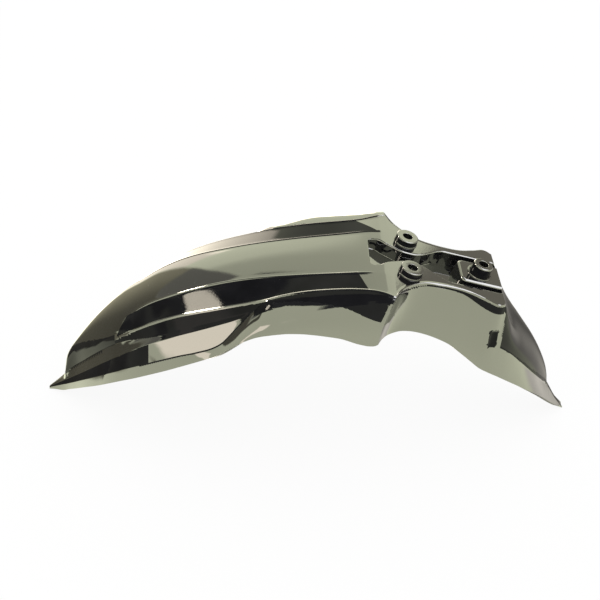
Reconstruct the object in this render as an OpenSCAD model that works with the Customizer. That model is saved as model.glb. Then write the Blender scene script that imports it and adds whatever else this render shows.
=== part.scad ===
// Front mudguard of a small motorcycle, moulded in one piece.
// X runs from the nose (minus) to the tail (plus), Y is across, Z is up.
// The guard stands on its nose tip and tail tip; the origin is under its middle.

/* [Guard] */
// length from the nose tip to the rear corners of the wide front part
front_len = 337; // [310:1:365]
// height of the deck at those corners
front_h = 189.5; // [170:0.5:205]
// widest width over the lower edges
guard_w = 160; // [145:1:180]
// wall thickness of the moulding
wall = 3; // [2.4:0.1:3.4]

/* [Deck] */
// length of the mounting deck behind the wide front part
deck_len = 103; // [99:1:115]
// downward slope of the deck towards the tail, in degrees
deck_tilt = 13; // [10:0.5:16]
// width of the deck across the two front corners
corner_w = 126.6; // [118:0.2:134]
// width of the narrow neck of the deck
neck_w = 60; // [58:0.5:70]
// width of the rear edge of the deck
rear_w = 85; // [78:0.5:92]

/* [Tail] */
// length of the tail from the rear edge of the deck to its tip
tail_len = 100; // [88:1:116]

/* [Trough] */
// depth of the trough floor below the deck
trough_d = 13; // [10:0.5:15]
// width of the front pocket of the trough
pocket_w = 38; // [32:0.5:42]
// width of the trough between the front bosses
throat_w = 12.4; // [10:0.2:14]
// width of the rear part of the trough
channel_w = 45; // [43:0.5:49]
// radius of the upright corners of the trough
trough_r = 3; // [2:0.25:4]

/* [Platform] */
// width of the platform between the two rear channels of the trough
plat_w = 32; // [28:0.5:36]
// height of the platform top over the deck
plat_h = 0.6; // [0.4:0.1:3]

/* [Bosses] */
// distance between the two front boss axes
boss_gap = 48; // [44:0.5:52]
// distance along the deck from the front boss axes to the rear boss axis
boss_run = 69.7; // [66:0.1:73]
// diameter of the front bosses at the top
boss_d = 20.8; // [19:0.2:22]
// height of the front bosses over the deck
boss_h = 6.6; // [5:0.2:9]
// diameter of the rear boss at the top
rear_boss_d = 18.4; // [17:0.2:20]
// height of the rear boss over the platform
rear_boss_h = 10.9; // [9:0.1:13]
// diameter of the bolt holes through the bosses
bolt_hole_d = 9.2; // [8:0.1:10]
// length of the sleeves that carry the bosses on below the deck
sleeve_h = 6; // [4:0.5:8]

/* [Dents] */
// height of the dent in each side wall at the rear crease
dent_h = 18; // [12:0.5:22]
// depth of that dent
dent_depth = 1.7; // [0.8:0.1:1.8]

/* [Hidden] */

nose_scale = [front_len / 337, guard_w / 160, front_h / 189.5];
x_corner = front_len;
x_rear = x_corner + deck_len;
x_tip = x_rear + tail_len;
slope = tan(deck_tilt);
z_rear = front_h - deck_len * slope;
deck_scale = deck_len / 103;
tail_scale = [tail_len / 100, guard_w / 160, z_rear / 165.7];
// how far the rear corners of the deck are rounded in
round_in = 4;
// how far forward the lower edge lies of the deck corner above it
rake = 12;
rake_rear = 3;
// radius across the dents in the side walls
dent_r = 7.5;
// fullness of the shoulders over the wheel
full = 0.66;

// monotone curve through a list of knots [x, a, b, ...]
function knot_at(k, x) = max(0, min(len(k) - 2, len([for (p = k) if (p[0] <= x) 1]) - 1));
function run_of(k, i, c) = (k[i + 1][c] - k[i][c]) / (k[i + 1][0] - k[i][0]);
function lean_of(k, i, c) =
    i == 0 ? run_of(k, 0, c) :
    i == len(k) - 1 ? run_of(k, i - 1, c) :
    let (a = run_of(k, i - 1, c), b = run_of(k, i, c))
    a * b <= 0 ? 0 : 2 * a * b / (a + b);
function curve(k, x, c) =
    let (i = knot_at(k, x), h = k[i + 1][0] - k[i][0], t = (x - k[i][0]) / h)
    let (a = lean_of(k, i, c) * h, b = lean_of(k, i + 1, c) * h)
    (2 * t * t * t - 3 * t * t + 1) * k[i][c] + (t * t * t - 2 * t * t + t) * a
    + (3 * t * t - 2 * t * t * t) * k[i + 1][c] + (t * t * t - t * t) * b;
function yz(k, x) = [curve(k, x, 1), curve(k, x, 2)];
function scaled(k, s) = [for (p = k) len(p) == 2 ? [p[0] * s[0], p[1] * s[2]]
    : [p[0] * s[0], p[1] * s[1], p[2] * s[2]]];
function mix(a, b, t) = a + (b - a) * t;
function ease(a, b, x) = let (t = max(0, min(1, (x - a) / (b - a)))) t * t * (3 - 2 * t);
function unit(v) = v / norm(v);

// ridge line of the front part [x, z]
crest = scaled([[0, 1.5], [8, 8.5], [19, 19], [20.5, 27], [24, 44.5], [35, 65], [64, 101.5], [96, 127.5], [129, 149.5],
    [166, 164.8], [220, 178.2], [290, 188], [320, 190.8], [329, 190.8], [337, 189.5]], nose_scale);
// inner crease of the top: [x, half width, drop below the ridge]
crease_1 = scaled([[85, 23, 5], [110, 24.5, 3.5], [148, 26.7, 2.7], [184, 26.3, 2.1],
    [255, 28.7, 1.4], [308, 31, 0.5], [322, 32, 0], [337, 33, 0]], nose_scale);
// outer crease of the top: [x, half width, height]
crease_2 = scaled([[85, 37.6, 105], [110, 43.2, 124.5], [129, 46.5, 136.8], [150, 50.1, 148.2],
    [187, 53.5, 161.6], [223, 54.3, 172.1], [239, 52.8, 176.9], [256, 52, 181.2],
    [273, 51.8, 184.2], [294, 52.3, 186.9], [314, 54.5, 189], [327, 58.8, 190.2],
    [337, corner_w / 2 / nose_scale[1], 189.5]], nose_scale);
// valley at the foot of the nose dome, then the wall under the outer crease
valley = scaled([[19, 3.8, 18.5], [20.5, 4, 26], [24, 5, 31], [35, 9.5, 43], [50, 19, 61.5],
    [65, 28.5, 79.5], [80, 36.5, 95.5], [95, 42.5, 107.5], [110, 46.5, 115], [120, 50, 120],
    [133, 54, 127], [150, 57, 137], [188, 60, 153.2], [206, 59.8, 160.2],
    [213, 58.6, 164.3], [224, 54.7, 171.6]], nose_scale);
// upper edge of the lip and of the side facet
lip_edge = scaled([[0, 1, 1.2], [8, 3.2, 7.7], [19, 7, 17.2], [24, 9.5, 22], [35, 16, 34],
    [50, 26.5, 51.5], [65, 36.5, 69], [80, 45.5, 85.5], [95, 52.5, 100], [110, 57, 112.5], [133, 59.1, 125.2], [188, 61.4, 149.3],
    [206, 61.1, 157.3], [213, 60.2, 162.4], [224, 55, 171.3]], nose_scale);
// lower edge of the side facet
facet_edge = scaled([[0, 1.5, 0.7], [8, 4.5, 6], [19, 9.5, 14], [24, 12.5, 18.5], [35, 20.5, 29.5],
    [50, 32, 45.5], [65, 42.5, 60.5], [80, 52, 74.5], [95, 58.5, 86.5], [110, 63.5, 96.5], [150, 71, 118.3],
    [170, 72.7, 126.3], [180, 72.4, 130.2], [188, 71, 134.9], [197, 67.6, 144.2],
    [206, 64.1, 154.8], [213, 61.2, 161.9], [224, 55.6, 170.9]], nose_scale);
// lower edge of the front part
hem = scaled([[0, 2, -1], [4, 3.5, 0.5], [8, 5.2, 2], [14, 8, 4], [19, 10.8, 7], [24, 14, 11.5],
    [35, 22.5, 22], [50, 35, 37.5], [65, 46, 51.5], [80, 55.5, 65], [95, 62, 76], [110, 67, 85.5], [150, 74.5, 108], [188, 78.4, 129.6],
    [206, 79.2, 144.1], [224, 79.7, 153.2], [255, 80, 158.2], [290, 79.4, 154.3],
    [310, 78.7, 147.2], [320, 78.3, 145.4], [325, 78, 147.3]], nose_scale);

// edge of the deck behind the corner: [run from the corner, half width]
deck_edge = [[0, corner_w / 2], [4.2, mix(neck_w, corner_w, 0.715) / 2],
    [8.4, mix(neck_w, corner_w, 0.56) / 2], [12.5, mix(neck_w, corner_w, 0.44) / 2],
    [24 * deck_scale, mix(neck_w, corner_w, 0.195) / 2],
    [34 * deck_scale, mix(neck_w, corner_w, 0.063) / 2], [52 * deck_scale, neck_w / 2],
    [61 * deck_scale, neck_w / 2 + 0.1], [70 * deck_scale, mix(neck_w, rear_w, 0.112) / 2],
    [79.4 * deck_scale, mix(neck_w, rear_w, 0.384) / 2],
    [88 * deck_scale, mix(neck_w, rear_w, 0.69) / 2], [95 * deck_scale, rear_w / 2 - 0.6],
    [99 * deck_scale, rear_w / 2 - 1.2], [deck_len, rear_w / 2 - round_in]];
// lower edge beside the deck: [run, half width, height]
arch = [for (p = [[0, 78, 147.3], [3.4, 73.5, 149.8], [9, 68, 150.6], [20, 64, 152], [34, 61, 148.8],
    [48, 58.5, 142.7], [58, 57, 137], [68, 56, 130.6], [79, 55, 120.4], [90, 54, 110],
    [101, 53, 99.7], [112, 52, 92.9]])
    [p[0] * (deck_len + rake - rake_rear) / 112, p[1] * nose_scale[1],
    p[2] * mix(nose_scale[2], tail_scale[2], p[0] / 112)]];
// ridge line of the tail [x, z]
tail_crest = scaled([[0, 165.7], [6, 152], [15, 138], [37, 110], [50, 93], [59.5, 77.6], [67, 63],
    [72, 50.4], [74.5, 40], [75.8, 35.2], [78, 31.5], [82.3, 24.8], [90.7, 11.7], [100, 0.4]], tail_scale);
// valley at the foot of the tail dome
tail_valley = scaled([[0, 47.2, 123], [5, 45.9, 118.4], [15, 42.1, 109.2],
    [25, 37.9, 98.2], [35, 32.9, 86.3], [45, 27.2, 73.8], [55, 20.6, 61.4], [65, 12.9, 48.1],
    [71, 8, 40], [75, 5.4, 34.4]], tail_scale);
// lower edge of the tail
tail_hem = scaled([[-3, 52, 92.9], [5, 50.6, 87.9], [15, 48.3, 80.9], [25, 45.2, 73.4],
    [35, 41.6, 65.4], [45, 37, 56.6], [55, 31.9, 47.5], [65, 26.1, 37.5], [75, 19.9, 26.5],
    [82, 15.2, 18.5], [90, 9.3, 9.6], [96, 5.2, 4.6], [100, 3, 1.8]], tail_scale);

// steps across one half: ridge, creases, valley, lip edge, facet edge, hem
n1 = 3;
n2 = 5;
n3 = 7;
n4 = 8;
n5 = 9;
n6 = 16;
n_valley = 11;

// rounded shoulder between two points a and b: k = 0 is straight, k = 1 is a quarter round, and a
// power m under 1 makes that round fuller towards its corner
function shoulder(a, b, u, k, m = 1) = [mix(a[0], b[0], mix(u, pow(sin(90 * u), m), k)),
    mix(a[1], b[1], mix(u, 1 - pow(cos(90 * u), m), k))];
function rake_at(x) = x < x_corner ? rake * ease(x_corner - 67, x_corner, x)
    : x < x_rear ? mix(rake, rake_rear, (x - x_corner) / deck_len)
    : rake_rear * (1 - ease(x_rear, x_rear + 13, x));
function deck_z(x) = front_h - (x - x_corner) * slope;

// half section of the nose dome and front part, x counted in units of the nominal length
function front_row(x) =
    let (q = x / nose_scale[0], z0 = curve(crest, x, 1), dome_x = 19 * nose_scale[0])
    let (le = yz(lip_edge, x), fe = yz(facet_edge, x))
    let (he = yz(hem, x - rake_at(x)))
    let (c1 = yz(crease_1, max(x, 85 * nose_scale[0])), c2 = yz(crease_2, max(x, 85 * nose_scale[0])))
    let (va = q >= 19 ? yz(valley, x) :
        let (y = valley[0][1] * pow(max(q, 0.5) / 19, 0.6)) [y, mix(z0, le[1], y / le[0])])
    let (fade = ease(84, 112, q), back = q > 224)
    let (u_a = mix(0.05, (n5 - n2) / (n6 - n2), ease(224, 290, q)))
    let (k = mix(0.1, 1, ease(186, 232, q)), m = mix(1, full, ease(232, 272, q)))
    [for (j = [0:n6])
        let (y0 = j <= n1 ? c1[0] * j / n1 : j <= n2 ? mix(c1[0], c2[0], (j - n1) / (n2 - n1)) : 0)
        let (fold = j <= n1 ? [y0, z0 - c1[1] * pow(j / n1, 2)] :
            j <= n2 ? mix([c1[0], z0 - c1[1]], c2, (j - n1) / (n2 - n1)) :
            mix(c2, va, (j - n2) / (n3 - n2)))
        let (dome = q < 19 ? [va[0] * j / n3, mix(z0, va[1], j / n3)] :
            [va[0] * sin(90 * j / n3), va[1] + (z0 - va[1]) * pow(cos(90 * j / n3), 0.92)])
        let (p = back ?
            (j <= n2 ? fold :
            j <= n5 ? shoulder(c2, he, u_a * (j - n2) / (n5 - n2), k, m) :
            shoulder(c2, he, mix(u_a, 1, (j - n5) / (n6 - n5)), k, m)) :
            j <= n3 ? mix(dome, fold, fade) :
            j <= n4 ? mix(va, le, (j - n3) / (n4 - n3)) :
            j <= n5 ? mix(le, fe, (j - n4) / (n5 - n4)) :
            shoulder(fe, he, (j - n5) / (n6 - n5), k))
        [x - rake_at(x) * max(0, (j - n2) / (n6 - n2)), p[0], p[1]]];

// half section beside the deck
function deck_row(x) =
    let (s = x - x_corner, half = curve(deck_edge, s, 1), zd = deck_z(x))
    let (he = yz(arch, s + rake - rake_at(x)))
    let (k = mix(1, 0.14, ease(0, 24, s)), m = mix(full, 1, ease(0, 24, s)))
    [for (j = [0:n6])
        let (y = j <= n1 ? 0.53 * half * j / n1 : mix(0.53 * half, half, (j - n1) / (n2 - n1)))
        let (p = j <= n2 ? [y, zd] : shoulder([half, zd], he, (j - n2) / (n6 - n2), k, m))
        [x - rake_at(x) * max(0, (j - n2) / (n6 - n2)), p[0], p[1]]];

// half section of the tail
function tail_row(x) =
    let (s = x - x_rear, z0 = curve(tail_crest, s, 1), end = 75 * tail_scale[0])
    let (he = yz(tail_hem, s - rake_at(x)))
    let (va = s <= end ? yz(tail_valley, s) :
        let (y = mix(5.4, 1.6, (s - end) / (tail_len - end))) [y, mix(z0, he[1], 0.12)])
    let (m = ease(0, 23, s))
    [for (j = [0:n6])
        let (half = min(rear_w / 2 - round_in, va[0] * 0.93))
        let (box = j <= n1 ? [0.53 * half * j / n1, z0] :
            j <= n2 ? [mix(0.53 * half, half, (j - n1) / (n2 - n1)), z0] :
            mix([half, z0], va, (j - n2) / (n_valley - n2)))
        let (dome = [va[0] * sin(90 * j / n_valley),
            va[1] + (z0 - va[1]) * pow(cos(90 * j / n_valley), 0.9)])
        let (p = j <= n_valley ? mix(box, dome, m) : mix(va, he, (j - n_valley) / (n6 - n_valley)))
        [x - rake_at(x) * max(0, (j - n2) / (n6 - n2)), p[0], p[1]]];

front_x = [for (q = [0, 3, 7, 11, 15, 19, 20.5, 22, 24, 27, 31, 36, 42, 49, 57, 66, 76, 86,
    95, 102.5, 110, 117, 124, 132, 141, 152, 165, 177, 188, 197, 206, 213, 218.5, 224, 230, 238, 247, 258,
    270, 283, 296, 307, 316, 323, 329, 333, 337]) q * nose_scale[0]];
deck_x = [for (q = [1.4, 3, 5.5, 8.5, 12.5, 18, 25, 33, 42, 52, 62, 71, 80, 87, 91.5, 95, 97.5, 99.5, 101.5])
    x_corner + q * deck_scale];
tail_x = [for (q = [2, 5, 10, 16, 23, 31, 39, 47, 54, 60.5, 66, 70, 72.5, 74, 75.2, 76.5, 79, 83, 88,
    93, 97, 100]) x_rear + q * tail_scale[0]];
rows = concat([for (x = front_x) front_row(x)], [for (x = deck_x) deck_row(x)],
    [deck_row(x_rear)], [for (x = tail_x) tail_row(x)]);
n_rows = len(rows);
// full section from the right edge to the left edge
outer = [for (r = rows) [for (j = [-n6:n6]) [r[abs(j)][0], sign(j) * r[abs(j)][1], r[abs(j)][2]]]];
nj = 2 * n6;

// wall thickness runs out a little towards both tips
function wall_at(x) = wall * mix(0.6, 1, ease(0, 30, x)) * mix(0.6, 1, ease(0, 30, x_tip - x));
function lean(i, j) =
    let (a = outer[min(n_rows - 1, i + 1)][j] - outer[max(0, i - 1)][j])
    let (b = outer[i][min(nj, j + 1)] - outer[i][max(0, j - 1)])
    unit(cross(a, b));
// the inner skin takes every crease and fewer points between them
inner_cols = let (c = [0, n1, n2, n3, n4, n5, n_valley, 13, n6])
    concat([for (i = [8:-1:1]) n6 - c[i]], [for (i = [0:8]) n6 + c[i]]);
mi = len(inner_cols) - 1;
inner = [for (i = [0:n_rows - 1]) [for (j = inner_cols)
    outer[i][j] - wall_at(outer[i][j][0]) * lean(i, j)]];
low = min([for (r = inner) for (p = r) p[2]]);
place = [-x_tip / 2, 0, -low];

// triangles between two rows of points a and a + 1 on, split so that both sides mirror
function strip(a, b, left) = left ? [[a, b, b + 1], [a, b + 1, a + 1]] : [[a, b, a + 1], [b, b + 1, a + 1]];
function flip(f) = [for (t = f) [t[0], t[2], t[1]]];
module shell() {
    base = n_rows * (nj + 1);
    points = concat([for (r = outer) for (p = r) p], [for (r = inner) for (p = r) p]);
    top = [for (i = [0:n_rows - 2]) for (j = [0:nj - 1])
        let (a = i * (nj + 1) + j)
        each flip(strip(a, a + nj + 1, j >= n6))];
    under = [for (i = [0:n_rows - 2]) for (j = [0:mi - 1])
        let (a = base + i * (mi + 1) + j)
        each strip(a, a + mi + 1, j >= mi / 2)];
    hems = [for (i = [0:n_rows - 2]) for (side = [0, 1])
        let (a = i * (nj + 1) + side * nj, b = base + i * (mi + 1) + side * mi)
        each (side == 0 ? [[a, b + mi + 1, b], [a, a + nj + 1, b + mi + 1]]
        : [[a, b, b + mi + 1], [a, b + mi + 1, a + nj + 1]])];
    ends = [for (end = [0, 1]) for (k = [0:mi - 1])
        let (a = end * (n_rows - 1) * (nj + 1), b = base + end * (n_rows - 1) * (mi + 1))
        let (f = concat([for (m = [inner_cols[k]:inner_cols[k + 1] - 1]) [a + m, b + k, a + m + 1]],
            [[a + inner_cols[k + 1], b + k, b + k + 1]]))
        each (end == 0 ? f : flip(f))];
    polyhedron(points, concat(top, under, hems, ends));
}

// the deck frame: origin on the deck between the two corners, X along the deck, Z square to it
module on_deck() {
    translate([x_corner, 0, front_h])
    rotate([0, deck_tilt, 0])
    children();
}
deck_run = deck_len / cos(deck_tilt);
tub_wall = 2.6;
// distances along the deck from the line of the corners
front_boss_s = 16.8;
rear_boss_s = front_boss_s + boss_run;
trough_s0 = -19.2;
// both rear channels just break through the rear edge of the deck
trough_s1 = deck_run + 0.2;
plat_s0 = rear_boss_s - 20;

// edge of the trough: [run, half width]
trough_edge = [[trough_s0, pocket_w / 2], [-12, pocket_w / 2], [-3, mix(throat_w, pocket_w, 0.57) / 2],
    [5, mix(throat_w, pocket_w, 0.27) / 2], [14, throat_w / 2], [23, throat_w / 2 - 0.2],
    [30, mix(throat_w, channel_w, 0.1) / 2], [38, mix(throat_w, channel_w, 0.39) / 2],
    [47, mix(throat_w, channel_w, 0.78) / 2], [56, channel_w / 2], [trough_s1, channel_w / 2]];
// quarter round of a corner, from the angle a to a + 90
function corner(c, r, a) = [for (t = [0:22.5:90]) c + r * [cos(a + t), sin(a + t)]];
half_outline = concat(
    [for (i = [4:-1:0]) corner([trough_s0 + trough_r, pocket_w / 2 - trough_r], trough_r, 90)[i]],
    [for (s = [-12:4:56]) [s, curve(trough_edge, s, 1)]],
    [for (i = [4:-1:0]) corner([trough_s1 - trough_r, channel_w / 2 - trough_r], trough_r, 0)[i]]);
n_out = len(half_outline);
outline = concat(half_outline, [for (i = [n_out - 1:-1:0]) [half_outline[i][0], -half_outline[i][1]]]);
// the same outline moved outwards by g, square to its edge
function grow(o, g) = let (n = len(o)) [for (i = [0:n - 1])
    let (d = unit(o[(i + 1) % n] - o[(i + n - 1) % n])) o[i] + g * [-d[1], d[0]]];

module tub() {
    intersection() {
        on_deck()
        translate([0, 0, -trough_d - tub_wall])
        linear_extrude(trough_d + tub_wall + 12)
        polygon(grow(outline, tub_wall));
        rotate([90, 0, 0])
        linear_extrude(pocket_w + channel_w, center = true)
        polygon(concat([for (x = [x_corner - 30:4:x_corner - 6]) [x, curve(crest, x, 1) - 0.45 * wall]],
            [[x_corner, front_h - 0.45 * wall], [x_rear - 2, deck_z(x_rear) - 0.5 * wall],
            [x_rear + 4, z_rear - 11], [x_rear + 4, z_rear - 60], [x_corner - 30, front_h - 60]]));
    }
}

module trough_cut() {
    on_deck()
    translate([0, 0, -trough_d])
    linear_extrude(trough_d + 12)
    polygon(outline);
}

// plan of the platform, drawn in by g; its rear end runs into the tail behind the deck
function plat_plan(g) =
    let (a = plat_w / 2 - g, r = max(1, 6 - g), s = plat_s0 + g)
    let (e = trough_s1 + (g > 0 ? -g - 1 : 0.6))
    concat([for (i = [4:-1:0]) corner([s + r, a - r], r, 90)[i]], [[e, a], [e, -a]],
    [for (i = [4:-1:0]) corner([s + r, -a + r], r, 180)[i]]);
// the platform from the height z0 up to d under its top
module platform_block(g, z0, d) {
    translate([0, 0, z0])
    linear_extrude(plat_h - d - z0)
    polygon(plat_plan(g));
}

// a low ledge along the foot of both side walls of the rear trough
module ledges() {
    for (side = [-1, 1])
    translate([44, side * (channel_w / 2 - 2.4), -trough_d - 0.8])
    linear_extrude(2.4)
    polygon([[0, -side * 0.4], [3, -side * 3.6], [plat_s0 - 41, -side * 3.6], [plat_s0 - 41, side * 3.4],
        [12, side * 3.4]]);
}
// rough pad on the floor of the front pocket
module pocket_pad() {
    translate([-10.5, 0, -trough_d - 0.8])
    difference() {
        linear_extrude(2)
        polygon([[-6, -9], [-1, -10.5], [3, -8], [6, -3], [5, 4], [1, 8], [-4, 9.5], [-7, 6], [-6.2, 0]]);
        translate([-1.5, -4, 1.2])
        cylinder(h = 3, d = 4, $fn = 24);
        translate([1, 4, 1.4])
        cylinder(h = 3, d = 3, $fn = 24);
    }
}

// a round boss standing on z = 0, with a chamfered top and a sleeve below
module boss(d, h, foot, down, sleeve_d) {
    translate([0, 0, -1])
    cylinder(h = h + 0.2, d = d, $fn = 64);
    translate([0, 0, h - 0.8])
    cylinder(h = 0.8, d1 = d, d2 = d - 1.6, $fn = 64);
    translate([0, 0, -1])
    cylinder(h = 2.1, d = d + foot, $fn = 64);
    translate([0, 0, -down])
    cylinder(h = down + 0.5, d = sleeve_d, $fn = 64);
}
module bore(h, down) {
    translate([0, 0, -down - 1])
    cylinder(h = h + down + 2, d = bolt_hole_d, $fn = 64);
}
module at_front_bosses() {
    for (side = [-1, 1])
    translate([front_boss_s, side * boss_gap / 2, 0])
    children();
}
module at_rear_boss() {
    translate([rear_boss_s, 0, plat_h])
    children();
}
down_front = wall + sleeve_h;
down_rear = wall + sleeve_h;

// a shallow upright dent in each side wall, just ahead of the rear crease
module dents() {
    row = deck_row(x_rear - 3.5 * deck_scale);
    a = row[9];
    b = row[12];
    out = dent_r - dent_depth;
    end = dent_h / 5;
    for (side = [-1, 1])
    translate([(a[0] + b[0]) / 2, side * ((a[1] + b[1]) / 2 + out), (a[2] + b[2]) / 2])
    rotate([side * atan((b[1] - a[1]) / (a[2] - b[2])), 0, 0]) {
        cylinder(h = dent_h - 2 * end, r = dent_r, center = true, $fn = 32);
        translate([0, 0, dent_h / 2 - end])
        cylinder(h = end, r1 = dent_r, r2 = out, $fn = 32);
        translate([0, 0, -dent_h / 2])
        cylinder(h = end, r1 = out, r2 = dent_r, $fn = 32);
    }
}

module mudguard() {
    color([0.05, 0.05, 0.055])
    translate(place)
    difference() {
        union() {
            difference() {
                union() {
                    shell();
                    tub();
                }
                trough_cut();
            }
            on_deck() {
                difference() {
                    platform_block(0, -trough_d - tub_wall / 2, 0);
                    platform_block(tub_wall, -trough_d - 10, wall);
                }
                ledges();
                pocket_pad();
                at_front_bosses() boss(boss_d, boss_h, 1.2, down_front, boss_d - 3);
                at_rear_boss() boss(rear_boss_d, rear_boss_h, 5, down_rear, rear_boss_d - 1.4);
            }
        }
        on_deck() {
            translate([0, 0, -trough_d - tub_wall - 1])
            linear_extrude(tub_wall + 1.4)
            polygon(plat_plan(tub_wall));
            at_front_bosses() bore(boss_h, down_front);
            at_rear_boss() bore(rear_boss_h, down_rear);
        }
        dents();
    }
}

mudguard();
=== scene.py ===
"""Motorcycle front mudguard: finish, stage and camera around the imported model."""

import math

import bmesh
import bpy
from mathutils import Euler, Matrix, Vector


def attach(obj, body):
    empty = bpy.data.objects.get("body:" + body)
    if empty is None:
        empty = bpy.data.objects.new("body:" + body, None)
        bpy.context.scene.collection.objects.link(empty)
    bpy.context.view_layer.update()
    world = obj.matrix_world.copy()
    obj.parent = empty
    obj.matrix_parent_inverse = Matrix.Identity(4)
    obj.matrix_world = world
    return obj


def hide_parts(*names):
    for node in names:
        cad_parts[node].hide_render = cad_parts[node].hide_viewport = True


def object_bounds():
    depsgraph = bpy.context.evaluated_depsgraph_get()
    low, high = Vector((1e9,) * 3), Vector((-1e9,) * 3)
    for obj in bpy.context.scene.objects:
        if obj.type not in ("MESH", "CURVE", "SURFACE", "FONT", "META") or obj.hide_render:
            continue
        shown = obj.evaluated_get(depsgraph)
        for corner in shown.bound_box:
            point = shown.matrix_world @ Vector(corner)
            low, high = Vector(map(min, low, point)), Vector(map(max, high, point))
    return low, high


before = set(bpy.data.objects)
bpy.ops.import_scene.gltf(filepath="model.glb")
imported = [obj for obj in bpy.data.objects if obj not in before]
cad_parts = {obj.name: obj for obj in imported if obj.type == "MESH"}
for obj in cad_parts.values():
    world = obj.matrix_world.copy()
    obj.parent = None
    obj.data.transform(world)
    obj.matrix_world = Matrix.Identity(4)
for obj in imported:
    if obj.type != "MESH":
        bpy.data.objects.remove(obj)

bl_info = {
    "name": "Front Mudguard",
    "version": (1, 0, 0),
    "blender": (4, 5, 0),
    "location": "View3D > Sidebar > Mudguard",
    "description": "Dresses a moulded front mudguard and sets its studio",
    "category": "Object",
}

CAD_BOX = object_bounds()
NODE = "mudguard"


class MudguardFinish(bpy.types.PropertyGroup):
    """Colours and gloss of the moulding, with the indices of its painted dark and dim reflections."""

    plastic: bpy.props.FloatVectorProperty(
        name="Plastic", description="Colour of the glossy black moulding",
        subtype="COLOR", size=3, min=0.0, max=1.0, default=(0.009, 0.009, 0.010))
    inner: bpy.props.FloatVectorProperty(
        name="Inner face", description="Colour of the satin face over the tyre",
        subtype="COLOR", size=3, min=0.0, max=1.0, default=(0.022, 0.022, 0.023))
    ior: bpy.props.FloatProperty(
        name="Lacquer index", description="Refractive index that sets how strongly the lacquer mirrors",
        min=1.2, max=3.0, default=2.0)
    # painted dark reflection: a low index makes the bands and patches mirror almost nothing, standing in for
    # the dark studio the real lacquer mirrors
    painted_dark_ior: bpy.props.FloatProperty(
        name="Band index", description="Refractive index of the deep black bands beside the crown",
        min=1.05, max=3.0, default=1.12)
    # painted dim reflection: a low index dims what the tail's dome and the nose dome's foot mirror
    painted_dim_ior: bpy.props.FloatProperty(
        name="Tail index", description="Refractive index of the darker dome of the tail",
        min=1.05, max=3.0, default=1.2)
    roughness: bpy.props.FloatProperty(
        name="Roughness", description="Roughness of the polished outer face",
        subtype="FACTOR", min=0.0, max=1.0, default=0.045)
    peel: bpy.props.FloatProperty(
        name="Orange peel", description="Depth of the fine waviness in the lacquer",
        subtype="FACTOR", min=0.0, max=1.0, default=0.012)


class MudguardStudio(bpy.types.PropertyGroup):
    """Camera and light of the studio."""

    place: bpy.props.FloatVectorProperty(
        name="Camera place", description="Where the camera stands",
        subtype="TRANSLATION", unit="LENGTH", size=3, default=(-0.0261, -0.5890, 0.6146))
    turn: bpy.props.FloatVectorProperty(
        name="Camera turn", description="Camera rotation about X, Y and Z",
        subtype="EULER", unit="ROTATION", size=3,
        default=(math.radians(50.623), math.radians(-2.338), math.radians(0.610)))
    lens: bpy.props.FloatProperty(
        name="Lens", description="Focal length in millimetres on a sensor 36 mm wide",
        min=10.0, max=200.0, default=48.0)
    room: bpy.props.FloatProperty(
        name="Room level", description="Brightness of the pale surround that the lacquer mirrors",
        min=0.0, max=6.0, default=3.0)
    plain: bpy.props.FloatProperty(
        name="Plain level", description="Brightness of the light that falls on matt surfaces",
        min=0.0, max=3.0, default=1.15)


def node(tree, kind, **inputs):
    """A new shader node; keywords name its inputs (_0 is the first), a socket is linked, a value is set."""
    made = tree.nodes.new("ShaderNode" + kind)
    for key, value in inputs.items():
        numbered = key[0] == "_" and key[1:].isdigit()
        slot = made.inputs[int(key[1:]) if numbered else key.replace("_", " ")]
        if isinstance(value, bpy.types.NodeSocket):
            tree.links.new(value, slot)
        else:
            slot.default_value = value
    return made


def calc(tree, how, a, b=None):
    """One math node and its result."""
    made = tree.nodes.new("ShaderNodeMath")
    made.operation = how
    for place, value in enumerate((a, b)):
        if value is None:
            continue
        if isinstance(value, bpy.types.NodeSocket):
            tree.links.new(value, made.inputs[place])
        else:
            made.inputs[place].default_value = value
    return made.outputs[0]


def smooth(tree, value, start, stop, low=0.0, high=1.0):
    """A smooth step of value from low at start to high at stop."""
    made = tree.nodes.new("ShaderNodeMapRange")
    made.interpolation_type = "SMOOTHSTEP"
    tree.links.new(value, made.inputs["Value"])
    for key, number in (("From Min", start), ("From Max", stop), ("To Min", low), ("To Max", high)):
        made.inputs[key].default_value = number
    return made.outputs[0]


def empty_material(name):
    """A new material and its cleared node tree."""
    made = bpy.data.materials.new(name)
    made.use_nodes = True
    made.node_tree.nodes.clear()
    return made, made.node_tree


def two_tones(tree, value, low, high, base):
    """The base colour, times low where the cloud is thin and times high where it is thick."""
    tint = node(tree, "ValToRGB", Fac=value)
    for element, position, level in zip(tint.color_ramp.elements, (0.35, 0.7), (low, high)):
        element.position = position
        element.color = (*[level * part for part in base], 1.0)
    return tint.outputs["Color"]


def finish_tree(tree, kind, shader):
    """Link a shader to the output of a material or a world."""
    out = node(tree, "Output" + kind)
    tree.links.new(shader, out.inputs["Surface"])


def gloss_material(name, finish, ior):
    """Polished black moulding with a faint waviness and slightly uneven gloss."""
    made, tree = empty_material(name)
    spot = node(tree, "TexCoord").outputs["Object"]
    cloud = node(tree, "TexNoise", Vector=spot, Scale=38.0, Detail=4.0, Roughness=0.55)
    fine = node(tree, "TexNoise", Vector=spot, Scale=620.0, Detail=3.0, Roughness=0.5)
    rough = smooth(tree, cloud.outputs["Fac"], 0.3, 0.75, finish.roughness * 0.7, finish.roughness * 1.5)
    bump = node(tree, "Bump", Strength=finish.peel, Distance=0.001, Height=fine.outputs["Fac"])
    tint = two_tones(tree, cloud.outputs["Fac"], 0.8, 1.25, finish.plastic)
    shade = node(tree, "BsdfPrincipled", Base_Color=tint, Roughness=rough, IOR=ior,
                 Normal=bump.outputs["Normal"])
    finish_tree(tree, "Material", shade.outputs["BSDF"])
    return made


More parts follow.
